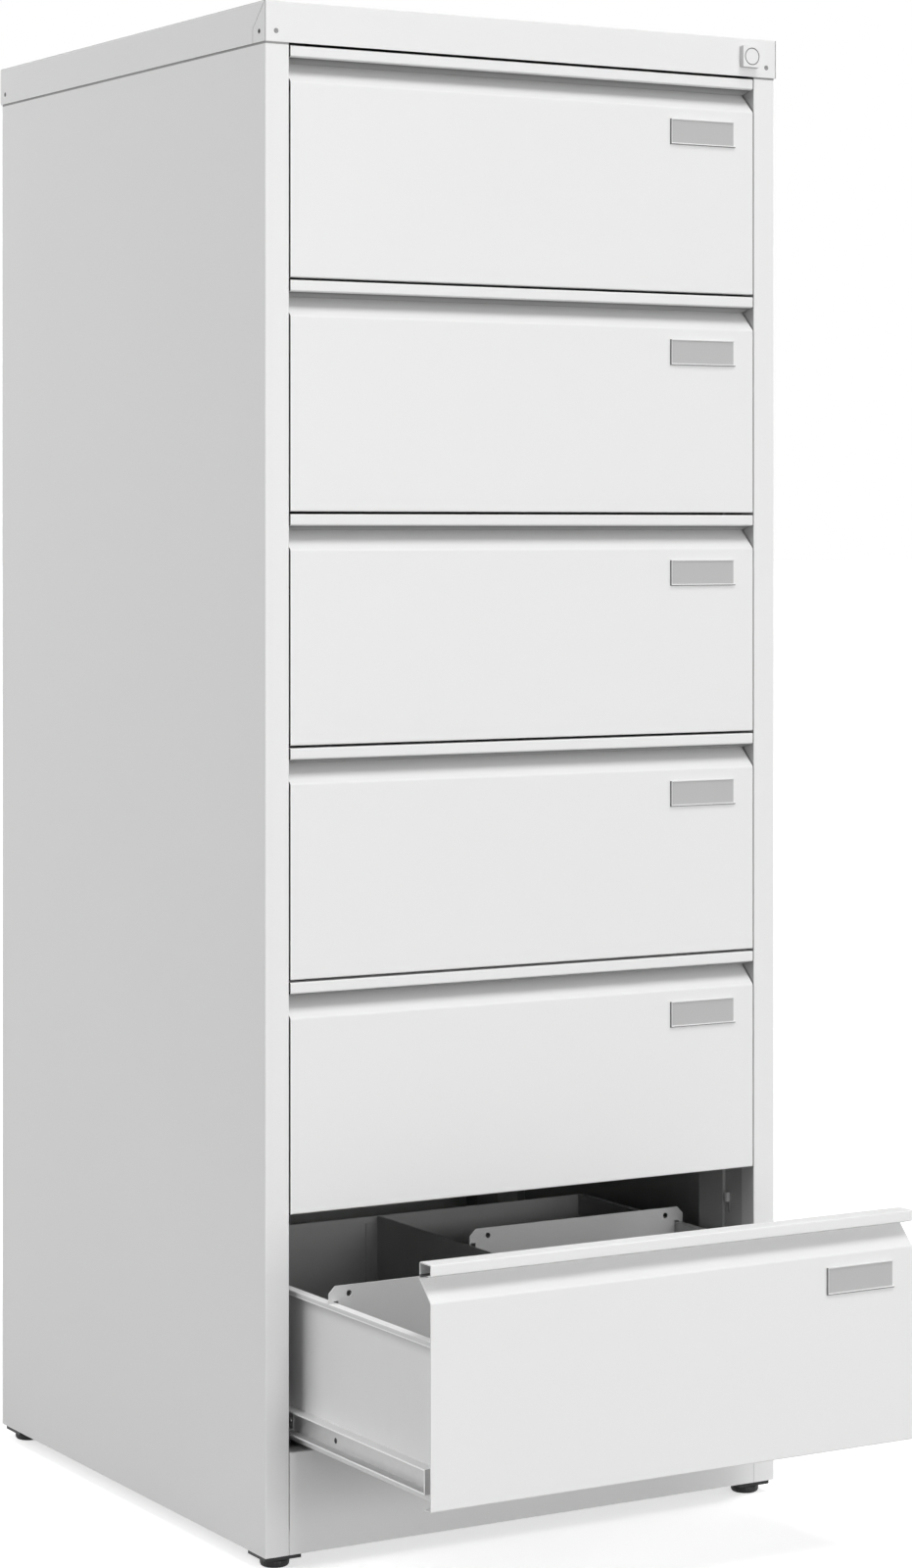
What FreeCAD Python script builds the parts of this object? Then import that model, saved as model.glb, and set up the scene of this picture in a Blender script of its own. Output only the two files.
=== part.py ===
import FreeCAD, Part
import os
import Sketcher
from FreeCAD import Vector

# Steel card index cabinet with six drawers, the lowest one standing open.
# X runs to the right, Y to the back, Z up; the origin is on the floor, under the middle of the cabinet.

doc = FreeCAD.newDocument("card_index_cabinet")

sizes = {
    # Cabinet as a whole
    "body_width": 515,
    "body_depth": 545,
    "overall_height": 1305,
    "floor_clearance": 12,
    "sheet": 1,
    "bend_radius": 1.2,
    # Drawer grid between the cover and the plinth; the drawers share its height evenly
    "drawer_count": 6,
    "first_drawer_drop": 36,
    "lowest_drawer_rise": 100,
    "drawer_gap": 2.2,
    "side_gap": 1,
    "shown_opening": 234,
    # Side panels
    "stile_width": 22.4,
    "stile_return": 19,
    "back_flange": 15,
    # Cover and the rail behind its rim
    "cover_rim": 34,
    "cover_round": 1,
    "rivet_inset": 10.5,
    "rivet_drop": 25,
    "rivet_hole_radius": 1.5,
    "corner_tab": 22,
    "seam_width": 0.5,
    "seam_depth": 0.4,
    # Plinth and bottom pan
    "plinth_drop": 3,
    "plinth_seam": 0.3,
    "ledge_hem": 8,
    "pan_rise": 21,
    # Uprights that carry the runners
    "upright_gauge": 1.2,
    "joggle_step": 3,
    "upright_gap": 0.3,
    "joggle_depth": 45,
    "front_upright_end": 83,
    "rear_upright_setback": 65,
    "rear_upright_width": 40,
    "weld_flange": 12,
    # Telescopic runners
    "runner_room": 11.6,
    "rail_gauge": 1.2,
    "rail_clearance": 0.3,
    "drawer_rail_rise": 10,
    "drawer_rail_height": 20,
    "drawer_rail_width": 10,
    "drawer_rail_start": 16,
    "drawer_rail_setback": 19,
    "middle_rail_start": 133,
    "middle_rail_setback": 112,
    "middle_lip_gap": 1,
    "cabinet_rail_start": 46,
    "cabinet_rail_setback": 45,
    # Drawer front
    "grip_depth": 18,
    "grip_drop": 30,
    "lip_height": 9,
    "lip_fall": 4.3,
    "front_flange": 10.5,
    "slope_round": 2.5,
    # Drawer tray
    "tray_drop": 63,
    "tray_setback": 40,
    "side_hem": 8,
    "side_hem_drop": 4.5,
    "divider_gauge": 1.6,
    "divider_flange": 12,
    # Card stops
    "stop_ear": 14,
    "stop_chamfer": 6,
    "stop_play": 1,
    "stop_middle_gap": 0.1,
    "divider_play": 0.5,
    "stop_notch": 5,
    "stop_notch_rise": 1.5,
    "stop_foot": 20,
    "stop_hole_radius": 2.5,
    "stop_hole_inset": 19,
    "stop_hole_drop": 7,
    "left_stop_place": 179,
    "right_stop_place": 337,
    "seat_clearance": 0.3,
    # Label holder
    "label_width": 69,
    "label_height": 22.6,
    "label_depth": 1.5,
    "label_border": 1.4,
    "label_hood": 0.7,
    "label_ledge_overrun": 1.5,
    "label_drop": 40,
    "label_inset": 21,
    # Lock
    "lock_drop": 16.5,
    "lock_offset": 6.2,
    "lock_square": 19,
    "lock_stand": 5.5,
    "lock_round": 1.2,
    "barrel_radius": 5.5,
    "barrel_length": 15,
    "barrel_hole_radius": 5.8,
    "shank_radius": 4,
    "running_fit": 0.05,
    "plug_radius": 7.2,
    "plug_recess": 1.5,
    "plug_ring": 0.4,
    "plug_gap": 0.3,
    "cam_start": 25,
    "cam_gauge": 2,
    "cam_width": 6,
    "cam_end_margin": 2.2,
    "cam_pin_radius": 1.5,
    "cam_pin_throw": 6.364,
    "cam_pin_end": 35.2,
    # Lock bar, its lugs and the drawers' catch arms
    "bar_travel": 9,
    "bar_gauge": 1.5,
    "bar_front": 33,
    "bar_back": 44,
    "bar_fork_height": 16,
    "fork_inner_reach": 2.3,
    "fork_gap": 0.35,
    "bar_tail": 18,
    "slot_height": 18,
    "slot_width": 4,
    "slot_back": 41,
    "slot_drop": 44.5,
    "slot_play": 0.5,
    "lug_reach": 3.5,
    "catch_gauge": 1.5,
    "catch_play": 1.5,
    "catch_inset": 5.1,
    "catch_flange": 15,
    "catch_height": 7.5,
    # Corner blocks and levelling feet
    "foot_inset": 18.8,
    "block_side": 33,
    "block_drop": 4,
    "block_round": 3,
    "foot_radius": 12.5,
    "foot_height": 7,
    "foot_bevel": 2.5,
    "stud_radius": 4,
    "stud_top": 30,
}

dim = doc.addObject("Spreadsheet::Sheet", "dim")
for row, (alias, size) in enumerate(sizes.items(), start=1):
    dim.set(f"A{row}", alias)
    dim.set(f"B{row}", str(size))
    dim.setAlias(f"B{row}", alias)
doc.recompute()

# Sizes that follow from the driving ones
half_width = "dim.body_width / 2"
front_plane = "-dim.body_depth / 2"
panel_height = "(dim.overall_height - dim.floor_clearance - dim.sheet)"
half_opening = "(dim.body_width / 2 - dim.stile_width)"
half_front = "(dim.body_width / 2 - dim.stile_width - dim.side_gap)"
drawer_zone = "(dim.overall_height - dim.first_drawer_drop - dim.lowest_drawer_rise + dim.drawer_gap)"
drawer_pitch = f"({drawer_zone} / dim.drawer_count)"
front_height = f"({drawer_pitch} - dim.drawer_gap)"
lowest_in_body = "(dim.lowest_drawer_rise - dim.floor_clearance)"
runner_face = "(dim.stile_width + dim.joggle_step)"
runner_plane = f"(dim.body_width / 2 - {runner_face})"
tray_half = f"({runner_plane} - dim.runner_room - dim.sheet)"
tray_top = f"({front_height} - dim.tray_drop)"
tray_end = "(dim.body_depth - dim.tray_setback)"
rear_upright_end = "(dim.body_depth - dim.rear_upright_setback)"
rear_upright_start = f"({rear_upright_end} - dim.rear_upright_width)"
lock_inset = "(dim.stile_width + dim.lock_offset)"
lock_x = f"(dim.body_width / 2 - {lock_inset})"
lock_z = "(dim.overall_height - dim.lock_drop)"
slot_rise = f"({front_height} - dim.slot_drop)"
lug_height = "(dim.slot_height - 2 * dim.slot_play - dim.bar_travel)"
cam_pin_rise = "dim.bar_travel / 2"
cam_pin_x = f"sqrt(dim.cam_pin_throw ^ 2 - ({cam_pin_rise}) ^ 2)"
cam_rest_angle = f"asin({cam_pin_rise} / dim.cam_pin_throw) / 1 deg"
mitre = "tan(22.5 deg)"

facing = {"XY_Plane": 1, "XZ_Plane": -1, "YZ_Plane": 1}
pockets = []
subparts = []


def amount(expression):
    return float(dim.evalExpression(str(expression)))


def new_body(name):
    body = doc.addObject("PartDesign::Body", name)
    body.Label = name
    return body


def keep(part, name):
    part.Label = name
    subparts.append(part)
    return part


def place(part, x="0", y="0", z="0"):
    part.setExpression("Placement.Base.x", x)
    part.setExpression("Placement.Base.y", y)
    part.setExpression("Placement.Base.z", z)


def origin_item(body, role):
    return next(item for item in body.Origin.OriginFeatures if item.Role == role)


# A sketch lies parallel to one of its body's origin planes, at a stated distance along the third axis
def new_sketch(body, plane, level="0"):
    sketch = body.newObject("Sketcher::SketchObject", f"{body.Name}_sketch")
    sketch.AttachmentSupport = [(origin_item(body, plane), "")]
    sketch.MapMode = "FlatFace"
    sketch.setExpression("AttachmentOffset.Base.z", f"{facing[plane]} * ({level})")
    return sketch


def fix(sketch, kind, place_of, expression):
    index = sketch.addConstraint(Sketcher.Constraint(kind, *place_of, amount(expression)))
    sketch.setExpression(f"Constraints[{index}]", expression)


def outline(sketch, corners):
    first = sketch.GeometryCount
    count = len(corners)
    points = [Vector(amount(u), amount(v), 0) for u, v in corners]
    for k in range(count):
        sketch.addGeometry(Part.LineSegment(points[k], points[(k + 1) % count]), False)
    for k in range(count):
        following = first + (k + 1) % count
        sketch.addConstraint(Sketcher.Constraint("Coincident", first + k, 2, following, 1))
    for k, (u, v) in enumerate(corners):
        fix(sketch, "DistanceX", (-1, 1, first + k, 1), u)
        fix(sketch, "DistanceY", (-1, 1, first + k, 1), v)


def rectangle(sketch, left, low, right, high):
    outline(sketch, [(left, low), (right, low), (right, high), (left, high)])


def circle(sketch, u, v, radius):
    number = sketch.GeometryCount
    middle = Vector(amount(u), amount(v), 0)
    sketch.addGeometry(Part.Circle(middle, Vector(0, 0, 1), amount(radius)), False)
    fix(sketch, "DistanceX", (-1, 1, number, 3), u)
    fix(sketch, "DistanceY", (-1, 1, number, 3), v)
    fix(sketch, "Radius", (number,), radius)


def sketch_facing(sketch):
    return facing[sketch.AttachmentSupport[0][0].Role]


# Pads and pockets run towards the plus or the minus end of the axis across their sketch
def pad(body, sketch, length, towards=1, both_ways=False):
    feature = body.newObject("PartDesign::Pad", f"{body.Name}_pad")
    feature.Profile = sketch
    feature.setExpression("Length", length)
    feature.Reversed = sketch_facing(sketch) != towards
    if both_ways:
        feature.SideType = "Symmetric"
    return feature


def pocket(body, sketch, length, towards=1):
    feature = body.newObject("PartDesign::Pocket", f"{body.Name}_pocket")
    feature.Profile = sketch
    feature.setExpression("Length", length)
    feature.Reversed = sketch_facing(sketch) == towards
    pockets.append(feature)
    return feature


def pocket_through(body, sketch):
    feature = body.newObject("PartDesign::Pocket", f"{body.Name}_pocket")
    feature.Profile = sketch
    feature.Type = "ThroughAll"
    feature.SideType = "Symmetric"
    pockets.append(feature)
    return feature


# Straight edges are named by the axis that they follow and the place where they cross the other two
def edges_along(shape, axis, spots):
    others = [k for k in range(3) if k != axis]
    wanted = [[amount(term) for term in spot] for spot in spots]
    names = []
    for number, edge in enumerate(shape.Edges, start=1):
        ends = [vertex.Point for vertex in edge.Vertexes]
        if len(ends) != 2 or abs(ends[0][axis] - ends[1][axis]) < 1:
            continue
        for spot in wanted:
            if all(abs(end[k] - goal) < 0.01 for end in ends for k, goal in zip(others, spot)):
                names.append(f"Edge{number}")
    assert len(names) >= len(spots), "an edge to round is missing"
    return names


def round_edges(body, spots_by_axis, radius):
    doc.recompute()
    base = body.Tip
    names = []
    for axis, spots in spots_by_axis.items():
        names += edges_along(base.Shape, axis, spots)
    feature = body.newObject("PartDesign::Fillet", f"{body.Name}_round")
    feature.Base = (base, names)
    feature.setExpression("Radius", radius)
    return feature


def row_of(body, features, pitch, count):
    feature = body.newObject("PartDesign::LinearPattern", f"{body.Name}_row")
    feature.Originals = features
    feature.Direction = (origin_item(body, "Z_Axis"), [""])
    feature.setExpression("Length", f"{pitch} * ({count} - 1)")
    feature.setExpression("Occurrences", count)
    body.Tip = feature
    return feature


def mirrored(part, normal):
    twin = doc.addObject("Part::Mirroring", f"{part.Name}_twin")
    twin.Source = part
    twin.Normal = normal
    return twin


def group(name, members):
    together = doc.addObject("Part::Compound", name)
    together.Links = members
    return together


# Side panels: one folded sheet each, seen from above as a long channel with a narrow stile in front.
# Their sketches count inwards from the outer face; side is 1 on the left and -1 on the right.
def side_panel(name, side):
    body = new_body(name)
    plan = new_sketch(body, "XY_Plane")
    across = {
        "outer": "0",
        "inner": f"{side} * dim.sheet",
        "stile": f"{side} * dim.stile_width",
        "stile_inner": f"{side} * (dim.stile_width - dim.sheet)",
        "back": f"{side} * dim.back_flange",
    }
    outline(plan, [
        (across["outer"], "0"),
        (across["stile"], "0"),
        (across["stile"], "dim.stile_return"),
        (across["stile_inner"], "dim.stile_return"),
        (across["stile_inner"], "dim.sheet"),
        (across["inner"], "dim.sheet"),
        (across["inner"], "dim.body_depth - dim.sheet"),
        (across["back"], "dim.body_depth - dim.sheet"),
        (across["back"], "dim.body_depth"),
        (across["outer"], "dim.body_depth"),
    ])
    pad(body, plan, panel_height)
    foot_notch = new_sketch(body, "XY_Plane")
    rectangle(foot_notch, across["stile_inner"], "dim.sheet", across["stile"], "dim.stile_return")
    pocket(body, foot_notch, "dim.pan_rise")
    bends = [("0", "0"), (across["stile"], "0"), ("0", "dim.body_depth")]
    round_edges(body, {2: bends}, "dim.bend_radius")
    place(body, f"-{side} * {half_width}", front_plane, "dim.floor_clearance")
    return keep(body, name)


side_panel("left_side_panel", 1)
side_panel("right_side_panel", -1)


# Back panel: a sheet held inside the side panels' back flanges, with a flange turned in under the cover
def back_panel(name):
    body = new_body(name)
    profile = new_sketch(body, "YZ_Plane")
    outside = "dim.body_depth - dim.sheet"
    inside = "dim.body_depth - 2 * dim.sheet"
    flange_tip = "dim.body_depth - dim.sheet - dim.back_flange"
    outline(profile, [
        (outside, "0"),
        (outside, panel_height),
        (flange_tip, panel_height),
        (flange_tip, f"{panel_height} - dim.sheet"),
        (inside, f"{panel_height} - dim.sheet"),
        (inside, "0"),
    ])
    pad(body, profile, "dim.body_width - 2 * dim.sheet", both_ways=True)
    place(body, "0", front_plane, "dim.floor_clearance")
    return keep(body, name)


back_panel("back_panel")


# Top cover: a lid whose rim laps over the body; its own origin is the middle of the rim's lower edge
def top_cover(name):
    body = new_body(name)
    half_x = "(dim.body_width / 2 + dim.sheet)"
    half_y = "(dim.body_depth / 2 + dim.sheet)"
    block = new_sketch(body, "XY_Plane")
    rectangle(block, f"-{half_x}", f"-{half_y}", half_x, half_y)
    pad(body, block, "dim.cover_rim")
    hollow = new_sketch(body, "XY_Plane")
    rectangle(hollow, f"-{half_width}", front_plane, half_width, "dim.body_depth / 2")
    pocket(body, hollow, "dim.cover_rim - dim.sheet")
    side_folds = [(x, "dim.cover_rim") for x in (f"-{half_x}", half_x)]
    end_folds = [(y, "dim.cover_rim") for y in (f"-{half_y}", half_y)]
    round_edges(body, {1: side_folds, 0: end_folds}, "dim.cover_round")
    rivet_z = "dim.cover_rim - dim.rivet_drop"
    end_rivets = new_sketch(body, "XZ_Plane", f"-{half_y}")
    circle(end_rivets, f"-({half_x} - dim.rivet_inset)", rivet_z, "dim.rivet_hole_radius")
    circle(end_rivets, f"{half_x} - dim.rivet_inset", rivet_z, "dim.rivet_hole_radius")
    circle(end_rivets, lock_x, "dim.cover_rim - dim.lock_drop", "dim.barrel_hole_radius")
    pocket(body, end_rivets, "2 * dim.sheet")
    side_rivets = new_sketch(body, "YZ_Plane")
    circle(side_rivets, f"-({half_y} - dim.rivet_inset)", rivet_z, "dim.rivet_hole_radius")
    pocket_through(body, side_rivets)
    for side in (-1, 1):
        seam = new_sketch(body, "YZ_Plane", f"{side} * {half_x}")
        corner_seam(seam, half_y)
        pocket(body, seam, "dim.seam_depth", towards=-side)
    place(body, "0", "0", "dim.overall_height - dim.cover_rim")
    return keep(body, name)


# The front rim's end is folded on to the side: its seam falls at 45 degrees from the corner, then upright
def corner_seam(seam, half_y):
    elbow = "dim.cover_rim - dim.corner_tab"
    lean = f"{mitre} * dim.seam_width"
    outline(seam, [
        (f"-{half_y}", "dim.cover_rim"),
        (f"-({half_y} - dim.corner_tab)", elbow),
        (f"-({half_y} - dim.corner_tab)", "0"),
        (f"-({half_y} - dim.corner_tab - dim.seam_width)", "0"),
        (f"-({half_y} - dim.corner_tab - dim.seam_width)", f"{elbow} + {lean}"),
        (f"-({half_y} - dim.seam_width - {lean})", "dim.cover_rim"),
    ])


top_cover("top_cover")


# Pieces between the stiles share one frame: Y from the front plane, Z from the lower edge of the body
def top_front_rail(name):
    body = new_body(name)
    low = f"{panel_height} + 2 * dim.sheet - dim.cover_rim"
    profile = new_sketch(body, "YZ_Plane")
    outline(profile, [
        ("0", panel_height),
        ("0", low),
        ("dim.stile_return", low),
        ("dim.stile_return", f"{low} + dim.sheet"),
        ("dim.sheet", f"{low} + dim.sheet"),
        ("dim.sheet", f"{panel_height} - dim.sheet"),
        ("dim.stile_return", f"{panel_height} - dim.sheet"),
        ("dim.stile_return", panel_height),
    ])
    pad(body, profile, f"2 * {half_opening}", both_ways=True)
    lock_hole = new_sketch(body, "XZ_Plane")
    circle(lock_hole, lock_x, f"{lock_z} - dim.floor_clearance", "dim.barrel_hole_radius")
    pocket(body, lock_hole, "2 * dim.sheet")
    place(body, "0", front_plane, "dim.floor_clearance")
    return keep(body, name)


def front_plinth(name):
    body = new_body(name)
    top = f"{lowest_in_body} - dim.plinth_drop"
    profile = new_sketch(body, "YZ_Plane")
    outline(profile, [
        ("0", "0"),
        ("0", top),
        ("dim.stile_return", top),
        ("dim.stile_return", f"{top} - dim.ledge_hem"),
        ("dim.stile_return - dim.sheet", f"{top} - dim.ledge_hem"),
        ("dim.stile_return - dim.sheet", f"{top} - dim.sheet"),
        ("dim.sheet", f"{top} - dim.sheet"),
        ("dim.sheet", "0"),
    ])
    pad(body, profile, f"2 * ({half_opening} - dim.plinth_seam)", both_ways=True)
    round_edges(body, {0: [("0", top)]}, "dim.bend_radius")
    place(body, "0", front_plane, "dim.floor_clearance")
    return keep(body, name)


def bottom_pan(name):
    body = new_body(name)
    reach = "({} - {} * dim.sheet)"
    plate = new_sketch(body, "XY_Plane")
    half_plate = reach.format(half_width, 1)
    rectangle(plate, f"-{half_plate}", "dim.sheet", half_plate, "dim.body_depth - 2 * dim.sheet")
    pad(body, plate, "dim.pan_rise")
    hollow = new_sketch(body, "XY_Plane")
    half_hollow = reach.format(half_width, 2)
    rectangle(hollow, f"-{half_hollow}", "2 * dim.sheet", half_hollow, "dim.body_depth - 3 * dim.sheet")
    pocket(body, hollow, "dim.pan_rise - dim.sheet")
    place(body, "0", front_plane, "dim.floor_clearance")
    return keep(body, name)


top_front_rail("top_front_rail")
front_plinth("front_plinth")
bottom_pan("bottom_pan")


# Front uprights: a channel joggled inwards behind the stile return, with a weld flange on the side panel
def front_upright(name, side):
    body = new_body(name)
    wing = f"{side} * dim.stile_width"
    wing_inner = f"{side} * (dim.stile_width - dim.upright_gauge)"
    web = f"{side} * {runner_face}"
    web_inner = f"{side} * ({runner_face} - dim.upright_gauge)"
    weld = f"{side} * dim.sheet"
    weld_face = f"{side} * (dim.sheet + dim.upright_gauge)"
    front_edge = "dim.stile_return + dim.upright_gap"
    plan = new_sketch(body, "XY_Plane")
    outline(plan, [
        (wing, front_edge),
        (wing, "dim.joggle_depth"),
        (web, "dim.joggle_depth"),
        (web, "dim.front_upright_end"),
        (weld_face, "dim.front_upright_end"),
        (weld_face, "dim.front_upright_end + dim.weld_flange"),
        (weld, "dim.front_upright_end + dim.weld_flange"),
        (weld, "dim.front_upright_end - dim.upright_gauge"),
        (web_inner, "dim.front_upright_end - dim.upright_gauge"),
        (web_inner, "dim.joggle_depth + dim.upright_gauge"),
        (wing_inner, "dim.joggle_depth + dim.upright_gauge"),
        (wing_inner, front_edge),
    ])
    pad(body, plan, f"{panel_height} - dim.pan_rise")
    slot = new_sketch(body, "YZ_Plane", wing)
    slot_low = f"{lowest_in_body} - dim.pan_rise + {slot_rise}"
    slot_front = "dim.slot_back - dim.slot_width"
    rectangle(slot, slot_front, slot_low, "dim.slot_back", f"{slot_low} + dim.slot_height")
    first_slot = pocket(body, slot, "dim.upright_gauge", towards=-side)
    row_of(body, [first_slot], drawer_pitch, "dim.drawer_count")
    if side < 0:
        cam_window = new_sketch(body, "YZ_Plane", wing)
        top = f"{panel_height} - dim.pan_rise"
        rectangle(cam_window, front_edge, f"{top} - dim.cover_rim", "dim.joggle_depth", top)
        pocket(body, cam_window, "dim.upright_gauge", towards=-side)
    place(body, f"-{side} * {half_width}", front_plane, "dim.floor_clearance + dim.pan_rise")
    return body


# Rear uprights: a hat channel welded to the side panel by both brims
def rear_upright(name, side):
    body = new_body(name)
    web = f"{side} * {runner_face}"
    web_inner = f"{side} * ({runner_face} - dim.upright_gauge)"
    weld = f"{side} * dim.sheet"
    weld_face = f"{side} * (dim.sheet + dim.upright_gauge)"
    plan = new_sketch(body, "XY_Plane")
    outline(plan, [
        (weld, f"{rear_upright_start} - dim.weld_flange"),
        (weld_face, f"{rear_upright_start} - dim.weld_flange"),
        (weld_face, rear_upright_start),
        (web, rear_upright_start),
        (web, rear_upright_end),
        (weld_face, rear_upright_end),
        (weld_face, f"{rear_upright_end} + dim.weld_flange"),
        (weld, f"{rear_upright_end} + dim.weld_flange"),
        (weld, f"{rear_upright_end} - dim.upright_gauge"),
        (web_inner, f"{rear_upright_end} - dim.upright_gauge"),
        (web_inner, f"{rear_upright_start} + dim.upright_gauge"),
        (weld, f"{rear_upright_start} + dim.upright_gauge"),
    ])
    pad(body, plan, f"{panel_height} - dim.pan_rise")
    place(body, f"-{side} * {half_width}", front_plane, "dim.floor_clearance + dim.pan_rise")
    return body


front_pair = [front_upright("left_front_upright", 1), front_upright("right_front_upright", -1)]
keep(group("front_upright_pair", front_pair), "front_uprights")
rear_pair = [rear_upright("left_rear_upright", 1), rear_upright("right_rear_upright", -1)]
keep(group("rear_upright_pair", rear_pair), "rear_uprights")


# The three members of a runner are channels nested with a running clearance all round.
# Nesting counts the members that lie outside: 0 drawer rail, 1 middle rail, 2 cabinet rail.
def nested(nesting):
    step = "(dim.rail_gauge + dim.rail_clearance)"
    low = f"(dim.drawer_rail_rise + {nesting} * {step})"
    high = f"(dim.drawer_rail_rise + dim.drawer_rail_height - {nesting} * {step})"
    web = f"({tray_half} + dim.sheet + {nesting} * {step})"
    return low, high, web


# Channel with its web on the drawer's side and its flanges reaching out to the cabinet
def outward_channel(body, nesting, start, length, flange_tip):
    low, high, web = nested(nesting)
    section = new_sketch(body, "XZ_Plane", start)
    outline(section, [
        (f"-{web}", low),
        (f"-{web}", high),
        (f"-({flange_tip})", high),
        (f"-({flange_tip})", f"{high} - dim.rail_gauge"),
        (f"-({web} + dim.rail_gauge)", f"{high} - dim.rail_gauge"),
        (f"-({web} + dim.rail_gauge)", f"{low} + dim.rail_gauge"),
        (f"-({flange_tip})", f"{low} + dim.rail_gauge"),
        (f"-({flange_tip})", low),
    ])
    return pad(body, section, length)


# Cabinet rail: fixed to the uprights by its web, flanges turned towards the drawer
def cabinet_rails(name):
    body = new_body("left_cabinet_rails")
    low, high, web = nested(2)
    mount = runner_plane
    section = new_sketch(body, "XZ_Plane", "dim.cabinet_rail_start")
    outline(section, [
        (f"-{mount}", low),
        (f"-{mount}", high),
        (f"-{web}", high),
        (f"-{web}", f"{high} - dim.rail_gauge"),
        (f"-({mount} - dim.rail_gauge)", f"{high} - dim.rail_gauge"),
        (f"-({mount} - dim.rail_gauge)", f"{low} + dim.rail_gauge"),
        (f"-{web}", f"{low} + dim.rail_gauge"),
        (f"-{web}", low),
    ])
    lowest = pad(body, section, "dim.body_depth - dim.cabinet_rail_setback - dim.cabinet_rail_start")
    row_of(body, [lowest], drawer_pitch, "dim.drawer_count")
    place(body, "0", front_plane, "dim.lowest_drawer_rise")
    return keep(group("cabinet_rail_set", [body, mirrored(body, Vector(1, 0, 0))]), name)


cabinet_rails("cabinet_runners")


# Lock: a square housing on the cover's rim, with its barrel through rim and rail.
# Its frame starts on the plug's axis, at the outer face of the rim.
rim_face = f"{front_plane} - dim.sheet"
recess_floor = "-(dim.lock_stand - dim.plug_recess)"


def lock_housing(name):
    body = new_body(name)
    half = "dim.lock_square / 2"
    square = new_sketch(body, "XZ_Plane")
    rectangle(square, f"-{half}", f"-{half}", half, half)
    pad(body, square, "dim.lock_stand", towards=-1)
    corners = [(x, z) for x in (f"-{half}", half) for z in (f"-{half}", half)]
    round_edges(body, {1: corners}, "dim.lock_round")
    barrel = new_sketch(body, "XZ_Plane")
    circle(barrel, "0", "0", "dim.barrel_radius")
    pad(body, barrel, "dim.barrel_length")
    bore = new_sketch(body, "XZ_Plane")
    circle(bore, "0", "0", "dim.shank_radius + dim.running_fit")
    pocket_through(body, bore)
    recess = new_sketch(body, "XZ_Plane", "-dim.lock_stand")
    circle(recess, "0", "0", "dim.plug_radius + dim.plug_ring")
    pocket(body, recess, "dim.plug_recess")
    place(body, lock_x, rim_face, lock_z)
    return keep(body, name)


# Plug: its face with the keyway's shutter closed, shank, cam and the pin that works in the lock bar's fork.
# The cam rests 45 degrees up.
def lock_plug(name):
    body = new_body(name)
    face = new_sketch(body, "XZ_Plane", "-dim.lock_stand")
    circle(face, "0", "0", "dim.plug_radius")
    pad(body, face, "dim.plug_recess - dim.plug_gap")
    shank = new_sketch(body, "XZ_Plane", f"{recess_floor} - dim.plug_gap")
    circle(shank, "0", "0", "dim.shank_radius")
    pad(body, shank, "dim.cam_start + dim.cam_gauge + dim.lock_stand - dim.plug_recess + dim.plug_gap")
    rest_turn = FreeCAD.Rotation(Vector(0, 0, 1), amount(cam_rest_angle))
    cam = new_sketch(body, "XZ_Plane", "dim.cam_start")
    cam.AttachmentOffset = FreeCAD.Placement(Vector(), rest_turn)
    half_cam = "dim.cam_width / 2"
    rectangle(cam, f"-{half_cam}", f"-{half_cam}", "dim.cam_pin_throw + dim.cam_end_margin", half_cam)
    pad(body, cam, "dim.cam_gauge")
    pin = new_sketch(body, "XZ_Plane", "dim.cam_start")
    circle(pin, cam_pin_x, cam_pin_rise, "dim.cam_pin_radius")
    pad(body, pin, "dim.cam_pin_end - dim.cam_start")
    place(body, lock_x, rim_face, lock_z)
    return keep(body, name)


lock_housing("lock_housing")
lock_plug("lock_plug")


# Lock bar: a strip behind the right upright's slots, with a riveted lug through each slot.
# A fork laps the strip's front edge at the top. The bar stands raised when unlocked.
# Its frame is that of the right side panel.
def lock_bar(name):
    near = "-(dim.stile_width - dim.upright_gauge - dim.seat_clearance)"
    lug_low = f"{lowest_in_body} + {slot_rise} + dim.slot_play + dim.bar_travel"
    pin_z = f"({lock_z} - dim.floor_clearance + {cam_pin_rise})"
    bar_low = f"({lug_low} - dim.bar_tail)"
    bar_top = f"({pin_z} + dim.bar_fork_height / 2)"
    strip = new_body(f"{name}_strip")
    strip_side = new_sketch(strip, "YZ_Plane", near)
    rectangle(strip_side, "dim.bar_front + dim.bar_gauge", bar_low, "dim.bar_back", bar_top)
    pad(strip, strip_side, "dim.bar_gauge")
    lugs = new_body(f"{name}_lugs")
    lug_side = new_sketch(lugs, "YZ_Plane", near)
    lug_back = "dim.slot_back - dim.slot_play"
    lug_front = "dim.slot_back - dim.slot_width + dim.slot_play"
    rectangle(lug_side, lug_front, lug_low, lug_back, f"{lug_low} + {lug_height}")
    through = "dim.upright_gauge + dim.seat_clearance + dim.lug_reach"
    first_lug = pad(lugs, lug_side, through, towards=-1)
    row_of(lugs, [first_lug], drawer_pitch, "dim.drawer_count")
    fork = new_body(f"{name}_fork")
    fork_face = new_sketch(fork, "XZ_Plane", "dim.bar_front")
    inner = f"-({lock_inset} - dim.fork_inner_reach)"
    rectangle(fork_face, inner, f"{pin_z} - dim.bar_fork_height / 2", f"{near} + dim.bar_gauge", bar_top)
    pad(fork, fork_face, "dim.bar_gauge")
    mouth = new_sketch(fork, "XZ_Plane", "dim.bar_front")
    half_mouth = "(dim.cam_pin_radius + dim.fork_gap)"
    floor = f"-({lock_inset} - dim.cam_pin_throw - dim.cam_pin_radius - dim.fork_gap)"
    rectangle(mouth, inner, f"{pin_z} - {half_mouth}", floor, f"{pin_z} + {half_mouth}")
    pocket(fork, mouth, "dim.bar_gauge")
    bar = group(f"{name}_set", [strip, lugs, fork])
    place(bar, half_width, front_plane, "dim.floor_clearance")
    return keep(bar, name)


lock_bar("lock_bar")


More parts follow.
